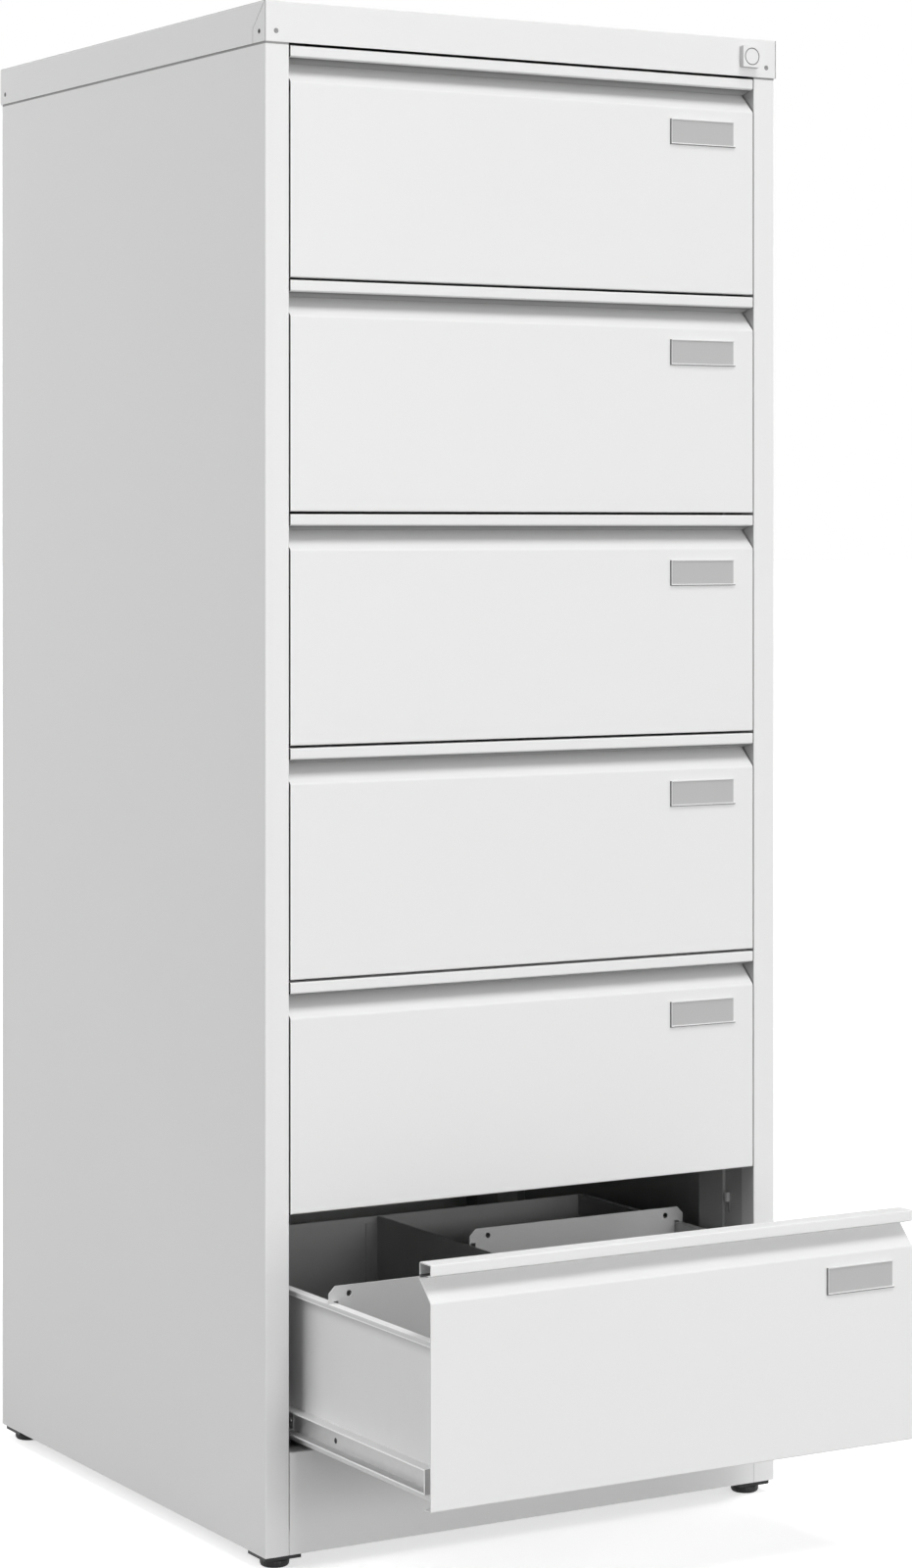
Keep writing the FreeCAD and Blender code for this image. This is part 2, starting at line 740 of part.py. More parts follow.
# Corner blocks of the base, each with a bore for its levelling stud
def corner_blocks(name):
    body = new_body("front_left_block")
    centre_x = f"-({half_width} - dim.foot_inset)"
    centre_y = "-(dim.body_depth / 2 - dim.foot_inset - dim.sheet)"
    half = "dim.block_side / 2"
    square = new_sketch(body, "XY_Plane", "-dim.block_drop")
    left, right = f"{centre_x} - {half}", f"{centre_x} + {half}"
    near, far = f"{centre_y} - {half}", f"{centre_y} + {half}"
    rectangle(square, left, near, right, far)
    pad(body, square, "dim.block_drop + dim.pan_rise - dim.sheet")
    round_edges(body, {2: [(left, near)]}, "dim.block_round")
    bore = new_sketch(body, "XY_Plane", "-dim.block_drop")
    circle(bore, centre_x, centre_y, "dim.stud_radius + dim.running_fit")
    pocket(body, bore, "dim.block_drop + dim.pan_rise")
    place(body, z="dim.floor_clearance")
    front_pair = group("front_blocks", [body, mirrored(body, Vector(1, 0, 0))])
    return keep(group("block_set", [front_pair, mirrored(front_pair, Vector(0, 1, 0))]), name)


# Levelling foot: a round pad and its stud, turned in one piece
def levelling_foot(name, side, end):
    body = new_body(name)
    profile = new_sketch(body, "XZ_Plane")
    outline(profile, [
        ("0", "0"),
        ("dim.foot_radius - dim.foot_bevel", "0"),
        ("dim.foot_radius", "dim.foot_bevel"),
        ("dim.foot_radius", "dim.foot_height"),
        ("dim.stud_radius", "dim.foot_height"),
        ("dim.stud_radius", "dim.stud_top"),
        ("0", "dim.stud_top"),
    ])
    turned = body.newObject("PartDesign::Revolution", f"{name}_turned")
    turned.Profile = profile
    turned.ReferenceAxis = (origin_item(body, "Z_Axis"), [""])
    turned.Angle = 360
    foot_y = f"{end} * (dim.body_depth / 2 - dim.foot_inset - dim.sheet)"
    place(body, f"{side} * ({half_width} - dim.foot_inset)", foot_y)
    return keep(body, name)


corner_blocks("corner_blocks")
levelling_foot("foot_front_left", -1, -1)
levelling_foot("foot_front_right", 1, -1)
levelling_foot("foot_rear_left", -1, 1)
levelling_foot("foot_rear_right", 1, 1)


# Drawer pieces share the drawer's own frame: X from its middle, Y from its front face, Z from its lower edge.
# Drawer front: one folded sheet with a sloping grip under a lip that is closed to a box, its underside falling
# to the back, and the catch arm behind its right end.
def drawer_front(name):
    body = new_body(f"{name}_sheet")
    grip_foot = f"({front_height} - dim.grip_drop)"
    grip_face = "(dim.grip_depth - dim.sheet)"
    lip_foot = f"({front_height} - dim.lip_height)"
    heel = f"({lip_foot} - dim.lip_fall)"
    bend = f"tan(atan({grip_face} / ({heel} - {grip_foot})) / 2) * dim.sheet"
    profile = new_sketch(body, "YZ_Plane")
    outline(profile, [
        ("dim.front_flange", "0"),
        ("0", "0"),
        ("0", grip_foot),
        (grip_face, heel),
        ("0", lip_foot),
        ("0", front_height),
        ("dim.grip_depth", front_height),
        ("dim.grip_depth", f"{heel} - {bend}"),
        ("dim.sheet", f"{grip_foot} - {bend}"),
        ("dim.sheet", "dim.sheet"),
        ("dim.front_flange", "dim.sheet"),
    ])
    pad(body, profile, f"2 * {half_front}", both_ways=True)
    tight = [("0", "0"), ("0", lip_foot), ("0", front_height), ("dim.grip_depth", front_height)]
    round_edges(body, {0: tight}, "dim.bend_radius")
    round_edges(body, {0: [("0", grip_foot)]}, "dim.slope_round")
    hollow = new_sketch(body, "YZ_Plane")
    outline(hollow, [
        ("dim.sheet", f"{lip_foot} + dim.sheet - dim.lip_fall * dim.sheet / {grip_face}"),
        (grip_face, f"{heel} + dim.sheet"),
        (grip_face, f"{front_height} - dim.sheet"),
        ("dim.sheet", f"{front_height} - dim.sheet"),
    ])
    pocket_through(body, hollow)
    return group(f"{name}_set", [body, catch_arm(name)])


# The catch arm is welded on behind the sheet; its tip lies behind a lug of the lock bar when the drawer is shut
def catch_arm(name):
    body = new_body(f"{name}_catch")
    inner = f"{half_front} - dim.catch_inset"
    outer = f"{inner} + dim.catch_gauge"
    tip_front = "dim.slot_back - dim.slot_play + dim.catch_play"
    tip_back = f"{tip_front} + dim.catch_gauge"
    plan = new_sketch(body, "XY_Plane", f"{slot_rise} + dim.slot_play")
    outline(plan, [
        (f"{inner} - dim.catch_flange", "dim.sheet"),
        (outer, "dim.sheet"),
        (outer, tip_front),
        (half_front, tip_front),
        (half_front, tip_back),
        (inner, tip_back),
        (inner, "dim.sheet + dim.catch_gauge"),
        (f"{inner} - dim.catch_flange", "dim.sheet + dim.catch_gauge"),
    ])
    pad(body, plan, "dim.catch_height")
    return body


# Drawer tray: bottom and sides folded from one sheet with hems turned outwards, rear wall and divider
def drawer_tray(name):
    body = new_body(name)
    inside = tray_half
    outside = f"({tray_half} + dim.sheet)"
    hem = f"({tray_half} + dim.side_hem)"
    floor = "2 * dim.sheet"
    top = tray_top
    hem_foot = f"({top} - dim.side_hem_drop)"
    half_section = [
        (inside, floor),
        (inside, top),
        (hem, top),
        (hem, hem_foot),
        (f"{hem} - dim.sheet", hem_foot),
        (f"{hem} - dim.sheet", f"{top} - dim.sheet"),
        (outside, f"{top} - dim.sheet"),
        (outside, "dim.sheet"),
    ]
    section = new_sketch(body, "XZ_Plane", "dim.sheet")
    outline(section, half_section + [(f"-({x})", z) for x, z in reversed(half_section)])
    pad(body, section, f"{tray_end} - dim.sheet")
    hem_corners = [(f"{side} * {hem}", top) for side in (-1, 1)]
    floor_corners = [(f"{side} * {outside}", "dim.sheet") for side in (-1, 1)]
    round_edges(body, {1: hem_corners + floor_corners}, "dim.bend_radius")
    wall_face = f"{tray_end} - dim.sheet"
    rear_wall = new_sketch(body, "XZ_Plane", wall_face)
    rectangle(rear_wall, f"-{inside}", floor, inside, top)
    pad(body, rear_wall, "dim.sheet")
    half_divider = "dim.divider_gauge / 2"
    divider = new_sketch(body, "XY_Plane", floor)
    rectangle(divider, f"-{half_divider}", "dim.sheet", half_divider, wall_face)
    pad(body, divider, f"{top} - {floor}")
    flange = new_sketch(body, "XY_Plane", floor)
    rectangle(flange, f"-({half_divider} + dim.divider_flange)", f"{wall_face} - dim.sheet", "0", wall_face)
    pad(body, flange, f"{top} - {floor} - dim.stop_chamfer")
    return body


# Label holder: a plate with a wall on the left, a ledge below and a thin hood above.
# Its right end is open for the card, and the ledge runs on a little past it.
def label_holder(name):
    body = new_body(name)
    right = f"({half_opening} - dim.label_inset)"
    left = f"({right} - dim.label_width)"
    high = f"({front_height} - dim.label_drop)"
    low = f"({high} - dim.label_height)"
    plate_end = f"({right} - dim.label_ledge_overrun)"
    ledge_top = f"{low} + dim.label_border"
    holder = new_sketch(body, "XZ_Plane")
    outline(holder, [
        (left, low),
        (right, low),
        (right, ledge_top),
        (plate_end, ledge_top),
        (plate_end, high),
        (left, high),
    ])
    pad(body, holder, "dim.label_depth", towards=-1)
    window = new_sketch(body, "XZ_Plane", "-dim.label_depth")
    rectangle(window, f"{left} + dim.label_border", ledge_top, plate_end, f"{high} - dim.label_hood")
    pocket(body, window, "dim.label_depth - dim.sheet / 2")
    return body


# Card stop: an upright plate that fills one compartment and hangs by its ears on hem and divider
def card_stop(name, side):
    body = new_body(name)
    ear_foot = f"({tray_top} + dim.seat_clearance)"
    ear_top = f"({ear_foot} + dim.stop_ear)"
    chamfer_foot = f"{ear_top} - dim.stop_chamfer"
    notch_top = f"{ear_foot} + dim.stop_notch_rise"
    low = "(2 * dim.sheet + dim.seat_clearance)"
    inner_tip = "dim.stop_middle_gap"
    inner_heel = "(dim.divider_gauge / 2 + dim.divider_play)"
    inner_edge = f"({inner_heel} + dim.stop_notch)"
    outer_edge = f"({tray_half} - dim.stop_play)"
    outer_heel = f"({outer_edge} + dim.stop_notch)"
    outer_tip = f"({tray_half} + dim.side_hem)"
    plate = new_sketch(body, "XZ_Plane")
    corners = [
        (inner_edge, low),
        (outer_edge, low),
        (outer_edge, notch_top),
        (outer_heel, notch_top),
        (outer_heel, ear_foot),
        (outer_tip, ear_foot),
        (outer_tip, chamfer_foot),
        (f"{outer_tip} - dim.stop_chamfer", ear_top),
        (f"{inner_tip} + dim.stop_chamfer", ear_top),
        (inner_tip, chamfer_foot),
        (inner_tip, ear_foot),
        (inner_heel, ear_foot),
        (inner_heel, notch_top),
        (inner_edge, notch_top),
    ]
    outline(plate, [(f"{side} * ({x})", z) for x, z in corners])
    pad(body, plate, "dim.sheet")
    foot = new_sketch(body, "XY_Plane", low)
    rectangle(foot, f"{side} * {inner_edge}", "0", f"{side} * {outer_edge}", "dim.stop_foot")
    pad(body, foot, "dim.sheet")
    holes = new_sketch(body, "XZ_Plane")
    for x in (f"{inner_tip} + dim.stop_hole_inset", f"{outer_tip} - dim.stop_hole_inset"):
        circle(holes, f"{side} * ({x})", f"{ear_top} - dim.stop_hole_drop", "dim.stop_hole_radius")
    pocket(body, holes, "dim.sheet")
    return body


# Drawer rail: outermost channel, closed by a lip in front
def drawer_rail(name):
    body = new_body(name)
    low, high, web = nested(0)
    tip = f"({tray_half} + dim.sheet + dim.drawer_rail_width)"
    length = f"{tray_end} - dim.drawer_rail_setback - dim.drawer_rail_start"
    outward_channel(body, 0, "dim.drawer_rail_start", length, tip)
    lip = new_sketch(body, "XZ_Plane", "dim.drawer_rail_start")
    rectangle(lip, f"-{tip}", low, f"-{web}", high)
    pad(body, lip, "dim.rail_gauge")
    return body


# Middle rail: runs inside the drawer rail and over the cabinet rail
def middle_rail(name):
    body = new_body(name)
    tip = f"({runner_plane} - dim.rail_gauge - dim.middle_lip_gap)"
    length = "dim.body_depth - dim.middle_rail_setback - dim.middle_rail_start"
    outward_channel(body, 1, "dim.middle_rail_start", length, tip)
    return body


def drawer(number):
    name = f"drawer_{number}"
    opening = "dim.shown_opening" if number == sizes["drawer_count"] else "0"
    level = f"dim.lowest_drawer_rise + {drawer_pitch} * (dim.drawer_count - {number})"
    front_y = f"{front_plane} - {opening}"
    pieces = {
        f"{name}_front": (drawer_front, front_y),
        f"{name}_tray": (drawer_tray, front_y),
        f"{name}_label_holder": (label_holder, front_y),
    }
    for label, (build, y) in pieces.items():
        body = build(label)
        place(body, y=y, z=level)
        keep(body, label)
    for side_name, side in (("left", -1), ("right", 1)):
        label = f"{name}_card_stop_{side_name}"
        stop = card_stop(label, side)
        place(stop, y=f"{front_y} + dim.{side_name}_stop_place", z=level)
        keep(stop, label)
    rails = {
        f"{name}_rails": (drawer_rail, front_y),
        f"{name}_middle_rails": (middle_rail, f"{front_plane} - {opening} / 2"),
    }
    for label, (build, y) in rails.items():
        left = build(f"{label}_left")
        pair = group(f"{label}_pair", [left, mirrored(left, Vector(1, 0, 0))])
        place(pair, y=y, z=level)
        keep(pair, label)


for number in range(1, sizes["drawer_count"] + 1):
    drawer(number)

doc.recompute()

for item in doc.Objects:
    assert "Invalid" not in item.State and "Error" not in item.State, f"{item.Label} failed: {item.State}"
for feature in pockets:
    assert feature.Shape.Volume < feature.BaseFeature.Shape.Volume - 0.01, f"{feature.Label} cuts nothing"

os.makedirs("parts", exist_ok=True)
for part in subparts:
    assert not part.Shape.isNull() and part.Shape.isValid(), f"{part.Label} has no valid shape"
    part.Shape.exportStep(os.path.join("parts", f"{part.Label}.step"))
    print(part.Label, len(part.Shape.Solids), round(part.Shape.Volume))
print(len(subparts), "pieces")
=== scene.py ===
import math
from fnmatch import fnmatch

import bmesh
import bpy
import numpy as np
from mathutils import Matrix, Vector


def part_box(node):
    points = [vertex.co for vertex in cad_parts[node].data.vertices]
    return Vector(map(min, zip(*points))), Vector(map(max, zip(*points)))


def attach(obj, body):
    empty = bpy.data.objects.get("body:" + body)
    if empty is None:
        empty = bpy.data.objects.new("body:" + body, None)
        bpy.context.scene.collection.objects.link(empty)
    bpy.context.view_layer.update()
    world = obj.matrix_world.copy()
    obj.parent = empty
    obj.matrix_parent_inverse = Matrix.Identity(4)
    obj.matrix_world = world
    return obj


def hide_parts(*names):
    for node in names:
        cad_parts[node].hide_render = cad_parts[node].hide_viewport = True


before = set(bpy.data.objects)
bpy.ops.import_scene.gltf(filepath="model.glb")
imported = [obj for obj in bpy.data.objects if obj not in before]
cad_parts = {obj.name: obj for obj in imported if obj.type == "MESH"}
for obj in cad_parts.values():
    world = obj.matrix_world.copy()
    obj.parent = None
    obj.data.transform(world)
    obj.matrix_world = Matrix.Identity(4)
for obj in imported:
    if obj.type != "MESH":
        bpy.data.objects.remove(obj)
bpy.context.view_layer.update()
print("frame loaded:", len(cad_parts), "CAD nodes")

drawerNames = [f"drawer_{number}" for number in range(1, 7)]
openDrawer = drawerNames[-1]
sides = ((-1, "left"), (1, "right"))


# The faces of a CAD node's box, in millimetres to the nearest thousandth
def faces(node):
    names = ("left", "front", "foot", "right", "back", "top")
    places = [round(part * 1000, 3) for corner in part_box(node) for part in corner]
    return dict(zip(names, places))


# Boxes that the marks in the paint are measured from
shutFront, openFront = faces(f"{drawerNames[0]}_front"), faces(f"{openDrawer}_front")
openTray, openRails, openHolder = [faces(f"{openDrawer}_{part}") for part in ("tray", "rails", "label_holder")]
cover, sidePanel, lockHousing = [faces(node) for node in ("top_cover", "right_side_panel", "lock_housing")]

# The folded grip of a drawer front, in millimetres. Start and depth run back from the front's face, and lowest is
# the foot of the lowest drawer. Heel and lipFoot are the back and front edge of the lip's underside, measured
# from the foot of a drawer.
frontHeight = shutFront["top"] - shutFront["foot"]
grip = {
    "start": 3.5,
    "depth": 17,
    "lowest": openFront["foot"],
    "pitch": (shutFront["foot"] - openFront["foot"]) / (len(drawerNames) - 1),
    "heel": frontHeight - 13.3,
    "lipFoot": frontHeight - 9.8,
    # tone of the painted shade on the lip's underside
    "lipShadeTone": 0.07,
}


# One socket of a shader. Arithmetic on it adds Math nodes, so a pattern reads as a plain sum.
class Wire:
    def __init__(self, finish, socket):
        self.finish = finish
        self.socket = socket

    def __add__(self, other):
        return self.finish.maths("ADD", self, other)

    def __sub__(self, other):
        return self.finish.maths("SUBTRACT", self, other)

    def __rsub__(self, other):
        return self.finish.maths("SUBTRACT", other, self)

    def __mul__(self, other):
        return self.finish.maths("MULTIPLY", self, other)

    __radd__ = __add__
    __rmul__ = __mul__


# What a colour socket takes: a wire as it is, a bare number as a grey of that tone, or three parts as a colour
def asColour(shade):
    if isinstance(shade, Wire):
        return shade
    parts = [shade] * 3 if isinstance(shade, (int, float)) else shade
    return (*parts, 1)


# One material (or the world) and the means to fill it: node() adds any node, settings first and sockets after.
class Finish:
    def __init__(self, name, owner=None):
        self.material = owner or bpy.data.materials.new(name)
        self.material.use_nodes = True
        self.tree = self.material.node_tree
        self.tree.nodes.clear()
        self.place = self.node("ShaderNodeTexCoord", out="Object")

    def node(self, kind, settings={}, inputs={}, out=0):
        made = self.tree.nodes.new(kind)
        for key, value in settings.items():
            setattr(made, key, value)
        for key, value in inputs.items():
            if isinstance(value, Wire):
                self.tree.links.new(value.socket, made.inputs[key])
            else:
                made.inputs[key].default_value = value
        return Wire(self, made.outputs[out]) if made.outputs else None

    def maths(self, operation, *terms):
        return self.node("ShaderNodeMath", {"operation": operation}, dict(enumerate(terms)))

    # One coordinate of the place on the piece, in metres
    def coordinate(self, axis):
        return self.node("ShaderNodeSeparateXYZ", {}, {0: self.place}, out=axis)

    def grain(self, scale, detail, stretch=(1, 1, 1)):
        where = self.node("ShaderNodeMapping", {}, {"Vector": self.place, "Scale": stretch})
        return self.node("ShaderNodeTexNoise", {}, {"Vector": where, "Scale": scale, "Detail": detail})

    def spangle(self, scale):
        return self.node("ShaderNodeTexVoronoi", {}, {"Vector": self.place, "Scale": scale}, out="Color")

    # 1 outside the two planes that stand a stated distance either side of the middle, 0 between them
    def beyond(self, axis, distance):
        apart = self.maths("ABSOLUTE", self.coordinate(axis))
        return self.maths("GREATER_THAN", apart, distance / 1000)

    # 1 behind the upright plane at a stated place, 0 in front of it
    def behind(self, place):
        return self.maths("GREATER_THAN", self.coordinate("Y"), place / 1000)

    # 1 within a stated distance of a line through a point, left and right alike; keep drops the line's own axis
    def near(self, point, keep, distance):
        folded = self.node("ShaderNodeVectorMath", {"operation": "ABSOLUTE"}, {0: self.place})
        flat = self.node("ShaderNodeVectorMath", {"operation": "MULTIPLY"}, {0: folded, 1: keep})
        target = tuple(abs(part) * kept / 1000 for part, kept in zip(point, keep))
        gap = self.node("ShaderNodeVectorMath", {"operation": "DISTANCE"}, {0: flat, 1: target}, out="Value")
        return self.maths("LESS_THAN", gap, distance / 1000)

    # 0 up to one value and 1 from another on
    def ramp(self, value, low, high):
        return self.node("ShaderNodeMapRange", {}, {"Value": value, "From Min": low, "From Max": high})

    # Height within one drawer's share of the front, as a part of the pitch
    def storey(self):
        drawers = (self.coordinate("Z") - grip["lowest"] / 1000) * (1000 / grip["pitch"])
        return self.maths("FRACT", drawers)

    # 1 under a height that is measured from each drawer's foot
    def below(self, height):
        return self.maths("LESS_THAN", self.storey(), height / grip["pitch"])

    # 0 up to one height and 1 from another on, both measured from each drawer's foot
    def climb(self, low, high):
        return self.ramp(self.storey(), low / grip["pitch"], high / grip["pitch"])

    # 0 on a drawer front's face, rising to 1 at the back of the grip; the lip above the grip stays 0
    def underLip(self, facePlace):
        start, end = [(facePlace + grip[part]) / 1000 for part in ("start", "depth")]
        return self.ramp(self.coordinate("Y"), start, end) * self.below(grip["lipFoot"])

    # 0 at the back of the lip's underside, rising to 1 at its front
    def lipFoot(self):
        return self.climb(grip["heel"], grip["lipFoot"]) * self.below(grip["lipFoot"])

    # 1 for what the camera sees straight, in gloss or through glass, 0 for light on its way
    def seen(self):
        straight, gloss, glass = [
            self.node("ShaderNodeLightPath", out=kind)
            for kind in ("Is Camera Ray", "Is Glossy Ray", "Is Transmission Ray")
        ]
        return straight + gloss + glass

    def blend(self, mask, low, high):
        sockets = {0: mask, 6: asColour(low), 7: asColour(high)}
        return self.node("ShaderNodeMix", {"data_type": "RGBA"}, sockets, out=2)

    # A grey that goes from one share of its tone to another with the mask
    def mottled(self, mask, tone, shares):
        return self.blend(mask, tone * shares[0], tone * shares[1])

    # A value that goes from one end to the other with the mask
    def between(self, mask, ends):
        return mask * (ends[1] - ends[0]) + ends[0]

    def bump(self, height, depth, strength):
        return self.node("ShaderNodeBump", {}, {"Height": height, "Distance": depth, "Strength": strength})

    def surface(self, **sockets):
        shown = {key.replace("_", " "): value for key, value in sockets.items()}
        shader = self.node("ShaderNodeBsdfPrincipled", {}, shown)
        self.node("ShaderNodeOutputMaterial", {}, {"Surface": shader})
        return self.material


# Powder paint: broad faint patches of tone, a finer haze in the gloss and a millimetre-wide orange peel.
# In this and the next finishes a grain is (scale, detail), and its stretch if it has one, tones are shares of the
# finish's own tone, a bump is (depth in metres, strength), and rough is the roughness at both ends of a mask.
powder = {
    "patches": (2.2, 3),
    "haze": (45, 4),
    "peel": (520, 1),
    "bump": (0.00005, 0.7),
    "tones": (0.975, 1.015),
    "insideShadeTones": (0.95, 1.05),
    "rough": (0.35, 0.45),
}


def powderSurface(finish, colour, haze, rough=powder["rough"]):
    peel = finish.bump(finish.grain(*powder["peel"]), *powder["bump"])
    return finish.surface(Base_Color=colour, Roughness=finish.between(haze, rough), Normal=peel)


# Inside, less than x and y from the middle, a darker grey is painted as shade. A crease paints shade into the grip
# of a front whose face is at a stated place, and the lip's underside darker still. A joint paints shade on the
# edges past a distance along an axis, which stand in a narrow gap.
def powderPaint(name, tone, rough=powder["rough"], inside=None, creaseShade=None, joint=None):
    finish = Finish(name)
    haze = finish.grain(*powder["haze"])
    colour = finish.mottled(finish.grain(*powder["patches"]), tone, powder["tones"])
    if inside:
        # the inside gets a darker grey as painted shade
        insideShade = finish.mottled(haze, inside["tone"], powder["insideShadeTones"])
        outside = finish.maths("MAXIMUM", finish.beyond("X", inside["x"]), finish.beyond("Y", inside["y"]))
        colour = finish.blend(outside, insideShade, colour)
    if creaseShade:
        # painted shade in the grip, deepening towards its back
        colour = finish.blend(finish.underLip(creaseShade["face"]), colour, creaseShade["tone"])
        # painted shade on the lip's underside
        colour = finish.blend(finish.lipFoot(), colour, grip["lipShadeTone"])
    if joint:
        # painted shade on the edges that stand in a narrow gap
        colour = finish.blend(finish.beyond(joint["axis"], joint["past"]), colour, joint["tone"])
    return powderSurface(finish, colour, haze, rough)


# The cover's rivet holes stand in from its front corners and up from its rim's foot
coverHoles = {"inset": 10.5, "rise": 9}
frontHole = (cover["right"] - coverHoles["inset"], cover["front"], cover["foot"] + coverHoles["rise"])
sideHole = (cover["right"], cover["front"] + coverHoles["inset"], cover["foot"] + coverHoles["rise"])

# Round each hole a dark ring of painted shade stands for a small dimple, and the seam where the cover's front rim
# folds on to the side is a dark line of painted shade. Dimple and seam hold both ends of what is dark.
coverMarks = {
    "dimple": (1.55, 2.1),
    "rimFace": -cover["front"] - 0.3,
    "seam": (cover["right"] - 0.7, cover["right"] - 0.15),
}


def coverPaint(name, tone, frontDimple, sideDimpleShade, seamShadeTone):
    finish = Finish(name)
    haze = finish.grain(*powder["haze"])
    colour = finish.mottled(finish.grain(*powder["patches"]), tone, powder["tones"])
    onFront = finish.beyond("Y", coverMarks["rimFace"])
    hole, dimple = [finish.near(frontHole, (1, 0, 1), radius) for radius in coverMarks["dimple"]]
    # painted shade round the front holes
    colour = finish.blend((dimple - hole) * onFront, colour, frontDimple)
    dimple = finish.near(sideHole, (0, 1, 1), coverMarks["dimple"][1])
    # painted shade round the side holes
    colour = finish.blend(dimple - dimple * onFront, colour, sideDimpleShade)
    groove, face = [finish.beyond("X", distance) for distance in coverMarks["seam"]]
    # painted shade in the seam
    colour = finish.blend(groove - face, colour, seamShadeTone)
    return powderSurface(finish, colour, haze)


# A tray is painted like the cabinet outside, with a darker grey inside as painted shade; its hem has a painted
# highlight on its top and foot and painted shade on its face, over a soft painted shadow below it. Side is a
# distance from the middle, and the next four are heights above a drawer's foot.
trayTop = openTray["top"] - openFront["foot"]
trayMarks = {
    "side": openTray["right"] - 7.5,
    "creaseShadeFrom": trayTop - 18,
    "hemFoot": trayTop - 4.5,
    "hemFace": trayTop - 3.4,
    "hemTop": trayTop - 0.4,
    "tones": (0.98, 1.01),
    "rough": (0.37, 0.47),
}


def trayPaint(name, tone, insideShadeTone, hemHighlightTone, hemFaceShadeTone, creaseShadeTone):
    finish = Finish(name)
    haze = finish.grain(*powder["haze"])
    colour = finish.mottled(haze, tone, trayMarks["tones"])
    insideShade = finish.mottled(haze, insideShadeTone, powder["insideShadeTones"])
    # painted shadow under the hem, deepening towards it
    creaseShade = finish.climb(trayMarks["creaseShadeFrom"], trayMarks["hemFoot"])
    colour = finish.blend(creaseShade * creaseShade, colour, creaseShadeTone)
    underHem, underFace, underTop = [finish.below(trayMarks[part]) for part in ("hemFoot", "hemFace", "hemTop")]
    # painted highlight on the hem's top and foot, painted shade on its face
    colour = finish.blend(underHem, hemHighlightTone, colour)
    colour = finish.blend(underTop - underFace, colour, hemFaceShadeTone)
    # the inside gets a darker grey as painted shade
    colour = finish.blend(finish.beyond("X", trayMarks["side"]), insideShade, colour)
    return powderSurface(finish, colour, haze, trayMarks["rough"])


# The sides of the lock's housing are painted darker as shade, and the gap round its plug is a ring of painted
# shadow
lockFace = {
    "x": (lockHousing["left"] + lockHousing["right"]) / 2,
    "z": (lockHousing["foot"] + lockHousing["top"]) / 2,
    "face": lockHousing["front"] + 0.4,
    "ring": (6.95, 7.75),
    "haze": (60, 3),
    "peel": (700, 1),
    "bump": (0.00004, 0.5),
    "tones": (0.98, 1.02),
    "sideShadeTones": (0.96, 1.04),
    "rough": (0.28, 0.38),
}


def lockPaint(name, tone, sideShadeTone, ringShadeTone):
    finish = Finish(name)
    haze = finish.grain(*lockFace["haze"])
    face = finish.mottled(haze, tone, lockFace["tones"])
    # painted shade on the housing's sides
    shadedFlanks = finish.mottled(haze, sideShadeTone, lockFace["sideShadeTones"])
    colour = finish.blend(finish.behind(lockFace["face"]), face, shadedFlanks)
    plug = (lockFace["x"], 0, lockFace["z"])
    inner, outer = [finish.near(plug, (1, 0, 1), radius) for radius in lockFace["ring"]]
    # painted shadow in the ring round the plug
    colour = finish.blend(outer - inner, colour, ringShadeTone)
    peel = finish.bump(finish.grain(*lockFace["peel"]), *lockFace["bump"])
    return finish.surface(Base_Color=colour, Roughness=finish.between(haze, lockFace["rough"]), Normal=peel)


# Moulded plastic: a fine even grain, and gloss that is worn in places
plastic = {"specks": (900, 2), "worn": (30, 3), "bump": (0.00006, 0.6), "tones": (0.88, 1.12)}


def plasticSurface(finish, colour, worn, rough, shine=0.5):
    specks = finish.bump(finish.grain(*plastic["specks"]), *plastic["bump"])
    roughness = finish.between(worn, rough)
    return finish.surface(Base_Color=colour, Roughness=roughness, Normal=specks, Specular_IOR_Level=shine)


def mouldedPlastic(name, colour, rough, shine):
    finish = Finish(name)
    worn = finish.grain(*plastic["worn"])
    dark, light = [[part * share for part in colour] for share in plastic["tones"]]
    return plasticSurface(finish, finish.blend(worn, dark, light), worn, rough, shine)


# The label holder's left and lower rims are painted dark as shade, and the ledge on the lower one has a painted
# highlight. Left is a distance from the middle, foot and ledge are heights above a drawer's foot.
holderFoot = openHolder["foot"] - openFront["foot"]
holderMarks = {
    "left": openHolder["left"] + 0.8,
    "foot": holderFoot + 0.75,
    "ledge": holderFoot + 1.5,
    "tones": (0.97, 1.03),
    "rough": (0.34, 0.46),
}


def holderPaint(name, tone, rimShadeTone, ledgeHighlightTone):
    finish = Finish(name)
    worn = finish.grain(*plastic["worn"])
    colour = finish.mottled(worn, tone, holderMarks["tones"])
    # painted highlight on the ledge
    colour = finish.blend(finish.below(holderMarks["ledge"]), colour, ledgeHighlightTone)
    rightOfRim = finish.beyond("X", holderMarks["left"])
    inside = rightOfRim - rightOfRim * finish.below(holderMarks["foot"])
    # painted shade on the left and lower rims
    colour = finish.blend(inside, rimShadeTone, colour)
    return plasticSurface(finish, colour, worn, holderMarks["rough"])


# Zinc plate: fingernail-sized crystals in slightly different greys, with rolling streaks along the rails.
# The web of a drawer rail, up to its top and edge, keeps the plate's tone; its rims get a lighter painted
# highlight.
zinc = {
    "crystals": 140,
    "streaks": (300, 2, (1, 0.02, 1)),
    "tones": (0.93, 1.05),
    "bump": (0.00004, 0.5),
    "metal": 0.25,
    "rough": (0.36, 0.52),
    "webTop": openRails["top"] - openFront["foot"] - 0.1,
    "webEdge": openRails["right"] - 0.1,
}


